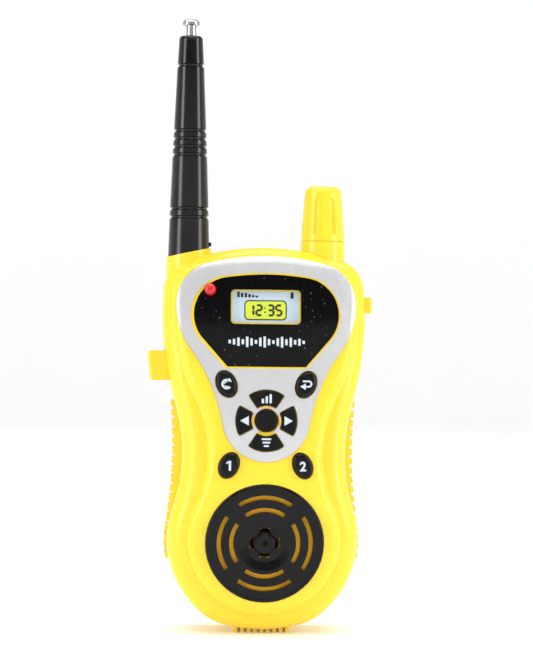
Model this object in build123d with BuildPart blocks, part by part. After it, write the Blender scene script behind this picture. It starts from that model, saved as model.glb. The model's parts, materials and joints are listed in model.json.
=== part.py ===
from build123d import *
from math import acos, cos, degrees, pi, radians, sin, sqrt, tan
import os

# Toy walkie talkie, in millimetres. +Z runs up along the antenna, the front with its keys
# faces -Y, and +X is on the right of somebody who looks at that front. The origin is under
# the middle of the body, at the tips of the bottom ribs that it stands on.

os.makedirs("parts", exist_ok=True)

# ---------------------------------------------------------------- driving dimensions
# Outlines seen from the front. Each is a chain of tangent arcs, the same on both sides.
LOBE_Z = 31.9           # middle of the round lower lobe
LOBE_R = 32.6
SIDE_HALF = 34.7        # half the width at the shoulders
SIDE_Z = 109.0
TOP_Z = 131.5           # crest of the body
FOOT_Z = 1.2            # the lowest point of the smooth skin; the ribs reach down to 0

WALL = 2.0
SEAM_Y = 0.0            # where the front and the rear shell meet
BACK_Y = 17.5           # the flat back
BODY_CROWN = 14.5       # how far the lower, outer surface stands in front of the seam
DECK_CROWN = 18.0       # how far the raised middle stands in front of the seam
CROWN_X = 140.0         # radius of the front across its width
CROWN_Z = 400.0         # radius of the front along its height
CROWN_MID_Z = 58.0      # height of the most forward point
FRONT_EDGE_R = 7.0
DECK_EDGE_R = 4.0
BACK_EDGE_R = 6.0
KEY_SEAT_Y = -13.2      # flat inner face behind the keys and the loudspeaker

TRIM_PROUD = 0.5        # silver trim above the yellow skin
TRIM_DEEP = 0.8         # and let into it
FIT = 0.1               # clearance round a part that is pressed or dropped in
KEY_GAP = 0.25          # clearance round a key
LIP_GAP = 0.45          # width of the yellow lip round a key in the silver trim

SCREEN_SIZE = (22.9, 10.8)
SCREEN_X = -0.3
SCREEN_Z = 111.2
PANEL_TOP_Z = 122.1
PANEL_BOTTOM_Z = 91.1
PANEL_SUNK = 0.3        # black panel below the yellow skin
PANEL_THICK = 0.9
LAMP_X = -19.1
LAMP_Z = 116.9
LAMP_R = 2.0

PAD_Z = 73.0            # centre of the round group of five keys
PAD_OUTER = 10.1
PAD_INNER = 5.4
PAD_BUTTON = 3.7
KEY_TRAVEL = 0.8

GRILLE_Z = 31.7
GRILLE_R = 20.0
GRILLE_TILT = 3.8       # degrees; the grille follows the slope of the lower lobe

ANTENNA_X = -26.0
KNOB_X = 20.2
TOP_AXIS_Y = 3.0        # the antenna and the knob stand on one line
ANTENNA_BOSS_R = 7.7
KNOB_BOSS_R = 7.6
KNOB_SEAM_Z = 134.0

PTT_Z = 91.0
PTT_Y = 2.0
PTT_TRAVEL = 1.6
POWER_Z = 112.2
POWER_TRAVEL = 3.0

BOARD_FRONT_Y = -8.8
BOARD_THICK = 1.6
BOARD_BACK_Y = BOARD_FRONT_Y + BOARD_THICK

BATTERY = (26.5, 17.5, 46.4)    # a nine-volt block without its terminals
BATTERY_Z = 10.0                # its lower end
BAY_HALF = 14.0                 # battery bay, inside
BAY_Z = (9.5, 62.5)
BAY_FLOOR_Y = -3.7
BAY_WALL = 1.5
DOOR_THICK = 1.6

CLIP_PIN_Y = 21.2
CLIP_PIN_Z = 113.0
CLIP_HALF = 10.0

CASE_SCREWS = [(-24.6, 76.0), (24.6, 76.0), (-21.5, 14.5), (21.5, 14.5), (0.0, 124.0)]
BOARD_SCREWS = [(-17.5, 68.0), (17.5, 68.0), (-8.0, 99.0), (8.0, 99.0)]

FRONT = Plane.XZ        # sketches drawn as seen from the front; it extrudes towards -Y


# ---------------------------------------------------------------- outline and form
def blend_centre(first, second, radius, side):
    """Centre of the arc that is tangent to two others, on the chosen side of their line"""
    (centre_a, radius_a), (centre_b, radius_b) = first, second
    reach_a = abs(radius_a - radius)
    reach_b = abs(radius_b - radius)
    span = centre_b - centre_a
    along = (reach_a**2 - reach_b**2 + span.length**2) / (2 * span.length)
    across = sqrt(reach_a**2 - along**2)
    unit = span.normalized()
    return centre_a + unit * along + Vector(-unit.Y, unit.X) * (side * across)


def pebble(lobe, waist, side, corner, top, foot=None):
    """Arcs down the right side, as (centre, radius); a hollow arc has a negative radius"""
    lobe_arc = (Vector(0, lobe[0]), lobe[1])
    side_arc = (Vector(side[0] - side[2], side[1]), side[2])
    top_arc = (Vector(0, top[0] - top[1]), top[1])
    waist_arc = (blend_centre(side_arc, lobe_arc, -waist, 1), -waist)
    corner_arc = (blend_centre(top_arc, side_arc, corner, -1), corner)
    arcs = [top_arc, corner_arc, side_arc, waist_arc, lobe_arc]
    if foot:
        foot_arc = (Vector(0, foot[0] + foot[1]), foot[1])
        arcs.append((blend_centre(lobe_arc, foot_arc, foot[2], -1), foot[2]))
        arcs.append(foot_arc)
    return arcs


def outline(arcs, grow=0.0):
    """The closed outline as a sketch, grown evenly by an offset"""
    normals = [Vector(0, 1)]
    for (centre_a, radius_a), (centre_b, radius_b) in zip(arcs, arcs[1:]):
        normals.append((centre_a - centre_b) / (radius_b - radius_a))
    normals.append(Vector(0, -1))
    with BuildSketch(FRONT) as sketch:
        with BuildLine() as line:
            for (centre, radius), start, end in zip(arcs, normals, normals[1:]):
                reach = radius + grow
                middle = (start + end).normalized()
                ThreePointArc(centre + start * reach, centre + middle * reach,
                              centre + end * reach)
            mirror(about=Plane.YZ)
        make_face()
    return sketch.sketch


BODY = pebble((LOBE_Z, LOBE_R), 60, (SIDE_HALF, SIDE_Z, 110), 11, (TOP_Z, 86), (FOOT_Z, 52, 20))
RIBBED = pebble((31.0, 33.6), 170, (SIDE_HALF, SIDE_Z, 110), 11, (TOP_Z, 86), (FOOT_Z, 52, 20))
DECK = pebble((33.0, 26.2), 40, (31.9, 112.0, 70), 12, (129.4, 84))
TRIM = pebble((74.0, 14.8), 60, (30.4, 112.0, 26), 14, (128.4, 80))


def front_y(x, z, crown=DECK_CROWN):
    """How far forward the crowned front lies at a place, near enough to seat a part"""
    return -crown + x**2 / (2 * CROWN_X) + (z - CROWN_MID_Z)**2 / (2 * CROWN_Z)


def barrel(crown, grow=0.0):
    """Everything behind the crowned front surface: a barrel that stands on end"""
    foot, head = -30.0, 170.0
    arc_y = -crown + CROWN_Z
    reach = CROWN_Z + grow
    with BuildPart() as body:
        with BuildSketch(Plane.YZ):
            with BuildLine():
                low = Vector(arc_y - sqrt(reach**2 - (foot - CROWN_MID_Z)**2), foot)
                mid = Vector(-crown - grow, CROWN_MID_Z)
                high = Vector(arc_y - sqrt(reach**2 - (head - CROWN_MID_Z)**2), head)
                ThreePointArc(low, mid, high)
                axis_y = -crown + CROWN_X
                Polyline(high, (axis_y, head), (axis_y, foot), low)
            make_face()
        revolve(axis=Axis((0, axis_y, 0), (0, 0, 1)))
    return body.part


def crowned_prism(arcs, crown, edge_r, grow):
    """An outline with a crowned front, rounded along its front edge"""
    with BuildPart() as body:
        with BuildSketch(Plane.XZ.offset(-BACK_Y - grow)):
            add(outline(arcs, grow))
        extrude(amount=BACK_Y + grow + crown + 5)
        add(barrel(crown, grow), mode=Mode.INTERSECT)
        rim = body.faces().sort_by(Axis.Y)[0].edges()
        fillet(rim, edge_r + grow)
    return body.part


def form(grow):
    """The whole smooth body, both shells in one, grown or shrunk by an offset"""
    with BuildPart() as deck:
        add(crowned_prism(DECK, DECK_CROWN, DECK_EDGE_R, grow))
        split(bisect_by=Plane.XZ, keep=Keep.TOP)
    with BuildPart() as body:
        add(crowned_prism(BODY, BODY_CROWN, FRONT_EDGE_R, grow))
        back_rim = body.faces().sort_by(Axis.Y)[-1].edges()
        fillet(back_rim, BACK_EDGE_R + grow)
        add(deck.part)
    return body.part


def finish(body, name):
    """Label a finished piece and write it"""
    body.label = name
    export_step(body, f"parts/{name}.step")


# ---------------------------------------------------------------- keys, seen from the front
OVALS = {
    "key_cancel": (-13.5, 85.2, 25),
    "key_return": (13.3, 85.2, -25),
    "key_one": (-12.4, 57.9, -25),
    "key_two": (12.4, 57.9, 25),
}
SECTORS = {
    "pad_up": (90, 34),
    "pad_down": (270, 34),
    "pad_left": (180, 28),
    "pad_right": (0, 28),
}
OVAL_HALF = (3.2, 4.5)


def oval_face(name, grow):
    x, z, tilt = OVALS[name]
    with BuildSketch(FRONT) as sketch:
        with Locations(Location((x, z), tilt)):
            Ellipse(OVAL_HALF[0] + grow, OVAL_HALF[1] + grow)
    return sketch.sketch


def sector_face(name, grow):
    """A key of the round pad: a piece of a ring between two straight sides"""
    angle, half = SECTORS[name]
    centre = Vector(0, PAD_Z)
    apex = centre - Vector(cos(radians(angle)), sin(radians(angle))) * (grow / sin(radians(half)))
    far = 3 * PAD_OUTER
    sides = [Vector(cos(radians(a)), sin(radians(a))) * far for a in (angle - half, angle + half)]
    with BuildSketch(FRONT) as sketch:
        with Locations(centre):
            Circle(PAD_OUTER + grow)
            Circle(PAD_INNER - grow, mode=Mode.SUBTRACT)
        with BuildLine():
            Polyline(apex, apex + sides[0], apex + sides[1], close=True)
        make_face(mode=Mode.INTERSECT)
        fillet(sketch.vertices(), 0.6)
    return sketch.sketch


def button_face(grow):
    with BuildSketch(FRONT) as sketch:
        with Locations((0, PAD_Z)):
            Circle(PAD_BUTTON + grow)
    return sketch.sketch


def key_face(name, grow):
    if name in OVALS:
        return oval_face(name, grow)
    if name in SECTORS:
        return sector_face(name, grow)
    return button_face(grow)


KEYS = list(OVALS) + list(SECTORS) + ["pad_centre"]
KEY_CENTRE = {name: (place[0], place[1]) for name, place in OVALS.items()}
for key_name, (key_angle, _) in SECTORS.items():
    key_ring = (PAD_OUTER + PAD_INNER) / 2
    KEY_CENTRE[key_name] = (key_ring * cos(radians(key_angle)),
                            PAD_Z + key_ring * sin(radians(key_angle)))
KEY_CENTRE["pad_centre"] = (0.0, PAD_Z)


def panel_face(grow):
    """The black display panel: a bowed top, round shoulders and straight sides to a flat foot"""
    top_r, shoulder_r, shoulder_x, foot_x = 90.0, 12.5, 12.0, 13.2
    top_centre = Vector(0, PANEL_TOP_Z - top_r)
    drop = sqrt((top_r - shoulder_r)**2 - shoulder_x**2)
    shoulder = top_centre + Vector(shoulder_x, drop)
    foot = Vector(foot_x, PANEL_BOTTOM_Z)
    reach = foot - shoulder
    foot_angle = Vector(1, 0).get_signed_angle(reach)
    bend = degrees(acos(shoulder_r / reach.length))
    down = radians(-abs(foot_angle) + bend)
    up = (shoulder - top_centre).normalized()
    side = Vector(cos(down), sin(down))
    with BuildSketch(FRONT) as sketch:
        with BuildLine():
            start = top_centre + up * top_r
            ThreePointArc(Vector(-start.X, start.Y), (0, PANEL_TOP_Z), start)
            turn = (up + side).normalized()
            ThreePointArc(start, shoulder + turn * shoulder_r, shoulder + side * shoulder_r)
            Line(shoulder + side * shoulder_r, foot)
            mirror(about=Plane.YZ)
            Line((-foot_x, PANEL_BOTTOM_Z), foot)
        make_face()
        if grow:
            offset(amount=grow, kind=Kind.INTERSECTION)
    return sketch.sketch


def lip_face():
    """The yellow edge that frames the panel, wider at the top left"""
    with BuildSketch(FRONT) as sketch:
        add(panel_face(0.6))
        with Locations((-0.5, 0.6)):
            add(panel_face(0.6))
    return sketch.sketch


def screen_face(grow):
    with BuildSketch(FRONT) as sketch:
        with Locations((SCREEN_X, SCREEN_Z)):
            RectangleRounded(SCREEN_SIZE[0] + 2 * grow, SCREEN_SIZE[1] + 2 * grow, 1.0 + grow)
    return sketch.sketch


def lamp_face(grow):
    with BuildSketch(FRONT) as sketch:
        with Locations((LAMP_X, LAMP_Z)):
            Circle(LAMP_R + grow)
    return sketch.sketch


def column(face, back, front):
    """A face drawn from the front, made solid between two depths in front of the seam"""
    with BuildPart() as body:
        with BuildSketch(FRONT):
            add(face)
        extrude(amount=-front)
        split(bisect_by=Plane.XZ.offset(-back), keep=Keep.TOP)
    return body.part


SKIN = form(0.0)
HOLLOW = form(-WALL)
TRIM_FLOOR = form(-TRIM_DEEP)
FAR_FRONT = -30.0       # in front of everything

# ---------------------------------------------------------------- tilted axis of the grille
grille_y = (front_y(0, GRILLE_Z - GRILLE_R) + front_y(0, GRILLE_Z + GRILLE_R)) / 2
GRILLE_PLANE = Plane(origin=(0, grille_y, GRILLE_Z), x_dir=(1, 0, 0),
                     z_dir=(0, -cos(radians(GRILLE_TILT)), -sin(radians(GRILLE_TILT))))
GRILLE_THICK = 1.4      # from the plane through the rim down to its seat in the shell
GRILLE_PORT_R = 5.0


# ---------------------------------------------------------------- top bosses
def slant_plane():
    """The sloping seam between the antenna sleeve and its yellow boss"""
    return Plane(origin=(ANTENNA_X, TOP_AXIS_Y, 129.7), x_dir=(1, 0, 0.214), z_dir=(-0.214, 0, 1))


def bosses():
    with BuildPart() as body:
        with BuildSketch(Plane.XY.offset(112)):
            with Locations((ANTENNA_X, TOP_AXIS_Y)):
                Circle(ANTENNA_BOSS_R)
        extrude(amount=30)
        split(bisect_by=slant_plane(), keep=Keep.BOTTOM)
        with BuildSketch(Plane.XY.offset(115)):
            with Locations((KNOB_X, TOP_AXIS_Y)):
                Circle(KNOB_BOSS_R)
        extrude(amount=KNOB_SEAM_Z - 115)
    return body.part


def boss_bores():
    with BuildPart() as body:
        with BuildSketch(Plane.XY.offset(105)):
            with Locations((ANTENNA_X, TOP_AXIS_Y)):
                Circle(5.1)
        extrude(amount=40)
        with BuildSketch(Plane.XY.offset(110)):
            with Locations((KNOB_X, TOP_AXIS_Y)):
                Circle(5.6)
        extrude(amount=22)
        with BuildSketch(Plane.XY.offset(110)):
            with Locations((KNOB_X, TOP_AXIS_Y)):
                Circle(1.8)
        extrude(amount=40)
    return body.part


BOSSES = bosses()
BORES = boss_bores()


def side_openings():
    """Where the push-to-talk button and the power switch come through the side"""
    with BuildPart() as body:
        with Locations((-SIDE_HALF, PTT_Y, PTT_Z)):
            Box(20, 12.5, 10.5)
        with Locations((SIDE_HALF, PTT_Y, POWER_Z - POWER_TRAVEL / 2)):
            Box(8, 7.4, 5.5 + POWER_TRAVEL + 0.6)
    return body.part


OPENINGS = side_openings()

# ---------------------------------------------------------------- ribs that the toy stands on
FOOT_PITCH = 2.2
FOOT_THICK = 1.25
FOOT_COUNT = 9
FOOT_FRONT_Y = -4.0
FOOT_BACK_Y = 15.0


def foot_ribs(front_y, back_y):
    """A row of small ribs under the body, between two depths, with their tips on the ground"""
    with BuildPart() as body:
        with BuildSketch(Plane.XZ.offset(-front_y)):
            for index in range(FOOT_COUNT):
                with Locations(((index - (FOOT_COUNT - 1) / 2) * FOOT_PITCH, 3)):
                    Rectangle(FOOT_THICK, 6)
        extrude(amount=front_y - back_y)
    return body.part


# ---------------------------------------------------------------- front shell
def web_gap_face():
    """The silver ring stops between the middle button and the lower key; yellow shows there"""
    with BuildSketch(FRONT) as sketch:
        with Locations((0, PAD_Z)):
            Circle(PAD_INNER)
            Circle(PAD_BUTTON, mode=Mode.SUBTRACT)
        with Locations((0, PAD_Z - PAD_INNER)):
            Rectangle(PAD_INNER, PAD_INNER, mode=Mode.INTERSECT)
    return sketch.sketch


def trim_windows(gap):
    """Everything that shows through the silver trim"""
    with BuildSketch(FRONT) as sketch:
        add(lip_face())
        for name in KEYS:
            add(key_face(name, LIP_GAP - gap))
        add(web_gap_face())
    return sketch.sketch


def screw_posts(places, radius, depth):
    """Round posts from the inside of the skin back to a depth"""
    with BuildPart() as body:
        with BuildSketch(Plane.XZ.offset(-depth)):
            with Locations(*places):
                Circle(radius)
        extrude(amount=30 + depth)
        add(INNER_SKIN, mode=Mode.INTERSECT)
    return body.part


INNER_SKIN = form(-WALL / 2)

with BuildPart() as front_hollow:
    add(HOLLOW)
    split(bisect_by=Plane.XZ.offset(-KEY_SEAT_Y), keep=Keep.BOTTOM)

with BuildPart() as trim_recess:
    with BuildSketch(FRONT):
        add(outline(TRIM, FIT))
        add(trim_windows(FIT), mode=Mode.SUBTRACT)
    extrude(amount=30)
    add(TRIM_FLOOR, mode=Mode.SUBTRACT)

with BuildPart() as panel_recess:
    with BuildSketch(FRONT):
        add(panel_face(FIT))
    extrude(amount=30)
    add(form(-PANEL_SUNK - PANEL_THICK), mode=Mode.SUBTRACT)

with BuildPart() as front_shell:
    add(SKIN)
    add(BOSSES)
    add(foot_ribs(FOOT_FRONT_Y, SEAM_Y))
    add(front_hollow.part, mode=Mode.SUBTRACT)
    split(bisect_by=Plane.XZ.offset(SEAM_Y), keep=Keep.TOP)
    add(screw_posts(CASE_SCREWS, 3.0, SEAM_Y))
    add(screw_posts(BOARD_SCREWS, 2.4, BOARD_FRONT_Y))
    add(BORES, mode=Mode.SUBTRACT)
    add(OPENINGS, mode=Mode.SUBTRACT)
    add(trim_recess.part, mode=Mode.SUBTRACT)
    add(panel_recess.part, mode=Mode.SUBTRACT)
    with BuildSketch(FRONT):
        add(screen_face(0))
        add(lamp_face(FIT))
        for name in KEYS:
            add(key_face(name, KEY_GAP))
    extrude(amount=30, mode=Mode.SUBTRACT)
    with BuildSketch(GRILLE_PLANE.offset(-GRILLE_THICK)):
        Circle(GRILLE_R + FIT)
    extrude(amount=10, mode=Mode.SUBTRACT)
    with BuildSketch(GRILLE_PLANE.offset(-10)):
        Circle(GRILLE_PORT_R)
    extrude(amount=12, mode=Mode.SUBTRACT)
    with BuildSketch(Plane.XZ.offset(SEAM_Y)):
        with Locations(*CASE_SCREWS):
            Circle(1.25)
    extrude(amount=8, mode=Mode.SUBTRACT)
    with BuildSketch(Plane.XZ.offset(-BOARD_FRONT_Y)):
        with Locations(*BOARD_SCREWS):
            Circle(0.9)
    extrude(amount=2.5, mode=Mode.SUBTRACT)
finish(front_shell.part, "front_shell")

# ---------------------------------------------------------------- silver trim and display
with BuildPart() as silver_trim:
    with BuildSketch(FRONT):
        add(outline(TRIM))
        add(trim_windows(0), mode=Mode.SUBTRACT)
        add(lamp_face(FIT), mode=Mode.SUBTRACT)
    extrude(amount=30)
    add(form(TRIM_PROUD), mode=Mode.INTERSECT)
    add(TRIM_FLOOR, mode=Mode.SUBTRACT)
finish(silver_trim.part, "silver_trim")

with BuildPart() as display_panel:
    with BuildSketch(FRONT):
        add(panel_face(0))
        add(screen_face(0.4), mode=Mode.SUBTRACT)
        add(lamp_face(FIT), mode=Mode.SUBTRACT)
    extrude(amount=30)
    add(form(-PANEL_SUNK), mode=Mode.INTERSECT)
    add(form(-PANEL_SUNK - PANEL_THICK), mode=Mode.SUBTRACT)
finish(display_panel.part, "display_panel")

SCREEN_SLOPE = degrees((SCREEN_Z - CROWN_MID_Z) / CROWN_Z)
screen_y = front_y(13, SCREEN_Z) + WALL + 0.25
with BuildPart() as display_card:
    card_plane = Plane(origin=(SCREEN_X, screen_y, SCREEN_Z), x_dir=(1, 0, 0),
                       z_dir=(0, -cos(radians(SCREEN_SLOPE)), sin(radians(SCREEN_SLOPE))))
    with BuildSketch(card_plane):
        RectangleRounded(26, 14, 1)
    extrude(amount=-1.2)
finish(display_card.part, "display_card")

lamp_y = front_y(LAMP_X, LAMP_Z)
with BuildPart() as indicator_lamp:
    with BuildSketch(Plane.XZ.offset(-BOARD_FRONT_Y)):
        with Locations((LAMP_X, LAMP_Z)):
            Circle(LAMP_R)
    extrude(amount=BOARD_FRONT_Y - lamp_y + LAMP_R + 0.2)
    fillet(indicator_lamp.faces().sort_by(Axis.Y)[0].edges(), LAMP_R - 0.1)
finish(indicator_lamp.part, "indicator_lamp")

# ---------------------------------------------------------------- keys and their mat
FLANGE_THICK = 0.8
FLANGE_OUT = 0.7
KEY_STYLE = {"oval": (1.5, 1.2), "sector": (1.0, 0.3), "middle": (1.4, 0.5)}   # height, rounding
flange_front = KEY_SEAT_Y + FIT
flange_back = flange_front + FLANGE_THICK
for name in KEYS:
    style = "oval" if name in OVALS else "sector" if name in SECTORS else "middle"
    height, round_r = KEY_STYLE[style]
    with BuildPart() as key:
        add(column(key_face(name, 0), flange_back, FAR_FRONT))
        add(barrel(DECK_CROWN, height), mode=Mode.INTERSECT)
        fillet(key.faces().sort_by(Axis.Y)[0].edges(), round_r)
        add(column(key_face(name, FLANGE_OUT), flange_back, flange_front))
    finish(key.part, name)

MAT_THICK = 1.0
mat_front = BOARD_FRONT_Y - MAT_THICK
dome_front = flange_back + KEY_TRAVEL + 0.1
with BuildPart() as keypad_mat:
    with BuildSketch(Plane.XZ.offset(-BOARD_FRONT_Y)):
        with Locations((0, 71.5)):
            RectangleRounded(36, 42, 3)
        with Locations(*BOARD_SCREWS):
            Circle(3.0, mode=Mode.SUBTRACT)
    extrude(amount=MAT_THICK)
    with BuildSketch(Plane.XZ.offset(-mat_front)):
        with Locations(*KEY_CENTRE.values()):
            Circle(2.2)
    extrude(amount=mat_front - dome_front, taper=25)
finish(keypad_mat.part, "keypad_mat")

# ---------------------------------------------------------------- loudspeaker and its grille
SLOT_RADII = (15.5, 11.3)    # the outer ring comes first
SLOT_WIDTH = 1.5
SLOT_HALF_ANGLE = 35.0
SLOT_BACK = 5.0             # how far behind the grille its cutters start
HUB_HOLE_R = 4.25
HUB_HOLE = (1.4, 3.4)


def slot_faces():
    """Two rings of curved slots, four to a ring, about the origin"""
    reach = 2 * GRILLE_R
    spread = reach * tan(radians(45 - SLOT_HALF_ANGLE))
    with BuildSketch() as sketch:
        for radius in SLOT_RADII:
            Circle(radius + SLOT_WIDTH / 2)
            Circle(radius - SLOT_WIDTH / 2, mode=Mode.SUBTRACT)
        with PolarLocations(0, 4, start_angle=45):
            Polygon((0, 0), (reach, -spread), (reach, spread), align=None, mode=Mode.SUBTRACT)
    return sketch.sketch


with BuildPart() as speaker_grille:
    with BuildSketch(Plane.XZ):
        with BuildLine():
            Polyline((0, -GRILLE_THICK), (GRILLE_R, -GRILLE_THICK), (GRILLE_R, -0.1))
            ThreePointArc((GRILLE_R, -0.1), (19.6, 0.45), (18.8, 0.5))
            Polyline((18.8, 0.5), (9.3, 0.0))
            ThreePointArc((9.3, 0.0), (8.1, -0.4), (6.6, -0.95))
            Polyline((6.6, -0.95), (3.9, -0.95), (3.4, 0.0), (2.9, 0.25), (0, 0.25),
                     (0, -GRILLE_THICK))
        make_face()
    revolve(axis=Axis.Z)
grille_at_home = GRILLE_PLANE * speaker_grille.part
with BuildPart() as speaker_grille:
    add(grille_at_home)
    with BuildSketch(GRILLE_PLANE.offset(-SLOT_BACK)):
        add(slot_faces())
        Circle(1.0)
        with PolarLocations(HUB_HOLE_R, 4):
            Rectangle(*HUB_HOLE)
    extrude(amount=2 * SLOT_BACK, mode=Mode.SUBTRACT)
finish(speaker_grille.part, "speaker_grille")

SPEAKER_R = 19.4
speaker_y = KEY_SEAT_Y + FIT
SPEAKER = Plane(origin=(0, speaker_y, GRILLE_Z), x_dir=(1, 0, 0), z_dir=(0, 1, 0))
with BuildPart() as frame_blank:
    with BuildSketch(Plane.XZ):
        with BuildLine():
            Polyline((17.2, 0), (SPEAKER_R, 0), (SPEAKER_R, 1.0), (17.6, 1.0), (10.6, 4.4),
                     (5.0, 4.4), (5.0, 3.6), (10.0, 3.6), (17.2, 0.2), close=True)
        make_face()
    revolve(axis=Axis.Z)
with BuildPart() as cone_blank:
    with BuildSketch(Plane.XZ):
        with BuildLine():
            Polyline((0, 0.6), (3.6, 1.1), (4.6, 2.3), (15.0, 0.5), (16.4, 0.2), (16.4, 0.4),
                     (15.0, 0.8), (4.6, 2.7), (3.4, 2.7), (0, 2.4), close=True)
        make_face()
    revolve(axis=Axis.Z)
with BuildPart() as magnet_blank:
    with BuildSketch(Plane.XY.offset(4.4)):
        Circle(10)
    extrude(amount=2.9)
    chamfer(magnet_blank.edges().group_by(Axis.Z)[-1], 0.4)
finish(SPEAKER * frame_blank.part, "speaker_frame")
finish(SPEAKER * cone_blank.part, "speaker_cone")
finish(SPEAKER * magnet_blank.part, "speaker_magnet")

# ---------------------------------------------------------------- rear shell
RIB_PITCH = 3.24
RIB_THICK = 2.1
RIB_COUNT = 17
RIB_FIRST_Z = 26.0
RIB_DEPTH = 13.0
RIB_PROUD = 0.8             # how far the ribs stand out of the pad between them
DOOR_HALF = 15.4
DOOR_Z = (8.65, 63.35)
DOOR_EAR = (5.0, 70.0)      # half width and top of the ear that takes the door screw
DOOR_SCREW_Z = 66.6
PTT_PLATE_X = -19.0
POWER_PLATE_X = 22.0
POT_FLOOR_Z = 119.6


def grip_ribs():
    """Finger ribs down both sides and the row of small ribs that the toy stands on"""
    with BuildPart() as sides:
        with BuildSketch(FRONT):
            add(outline(RIBBED))
        extrude(amount=-RIB_DEPTH)
        fillet(sides.faces().sort_by(Axis.Y)[-1].edges(), 3.0)
        with BuildSketch(FRONT):
            for index in range(RIB_COUNT):
                with Locations((0, RIB_FIRST_Z + index * RIB_PITCH)):
                    Rectangle(90, RIB_THICK)
        extrude(amount=-RIB_DEPTH, mode=Mode.INTERSECT)
    rib_span = (RIB_COUNT - 1) * RIB_PITCH
    with BuildPart() as pad:
        with BuildSketch(FRONT):
            add(outline(RIBBED, -RIB_PROUD))
        extrude(amount=RIB_PROUD - RIB_DEPTH)
        fillet(pad.faces().sort_by(Axis.Y)[-1].edges(), 2.5)
        with BuildSketch(FRONT):
            with Locations((0, RIB_FIRST_Z + rib_span / 2)):
                Rectangle(90, rib_span)
        extrude(amount=-RIB_DEPTH, mode=Mode.INTERSECT)
    with BuildPart() as body:
        add(sides.part)
        add(pad.part)
        add(foot_ribs(SEAM_Y, FOOT_BACK_Y))
    return body.part


def door_face(grow):
    with BuildSketch(FRONT) as sketch:
        with Locations((0, sum(DOOR_Z) / 2)):
            RectangleRounded(2 * (DOOR_HALF + grow), DOOR_Z[1] - DOOR_Z[0] + 2 * grow, 2.0)
        with Locations((0, DOOR_Z[1])):
            ear_half, ear_top = DOOR_EAR
            RectangleRounded(2 * (ear_half + grow), 2 * (ear_top - DOOR_Z[1] + grow), 2.5)
    return sketch.sketch


def rear_block(x_span, y_span, z_span):
    """A plain block between limits, for walls and shelves"""
    with BuildPart() as body:
        with Locations((sum(x_span) / 2, sum(y_span) / 2, sum(z_span) / 2)):
            Box(x_span[1] - x_span[0], y_span[1] - y_span[0], z_span[1] - z_span[0])
    return body.part


def rear_posts(places, radius, depth):
    with BuildPart() as body:
        with BuildSketch(Plane.XZ.offset(-depth)):
            with Locations(*places):
                Circle(radius)
        extrude(amount=-(BACK_Y - depth))
        add(INNER_SKIN, mode=Mode.INTERSECT)
    return body.part


def clip_ears():
    """Two lugs on the back that carry the belt clip's pin"""
    with BuildPart() as body:
        with BuildSketch(Plane.YZ.offset(-CLIP_HALF - 3.4)):
            with BuildLine():
                Polyline((BACK_Y - 1, CLIP_PIN_Z + 5), (BACK_Y - 1, CLIP_PIN_Z - 5),
                         (CLIP_PIN_Y, CLIP_PIN_Z - 2.6))
                ThreePointArc((CLIP_PIN_Y, CLIP_PIN_Z - 2.6), (CLIP_PIN_Y + 2.6, CLIP_PIN_Z),
                              (CLIP_PIN_Y, CLIP_PIN_Z + 2.6))
                Line((CLIP_PIN_Y, CLIP_PIN_Z + 2.6), (BACK_Y - 1, CLIP_PIN_Z + 5))
            make_face()
        extrude(amount=3.0)
        mirror(about=Plane.YZ)
    return body.part


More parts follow.
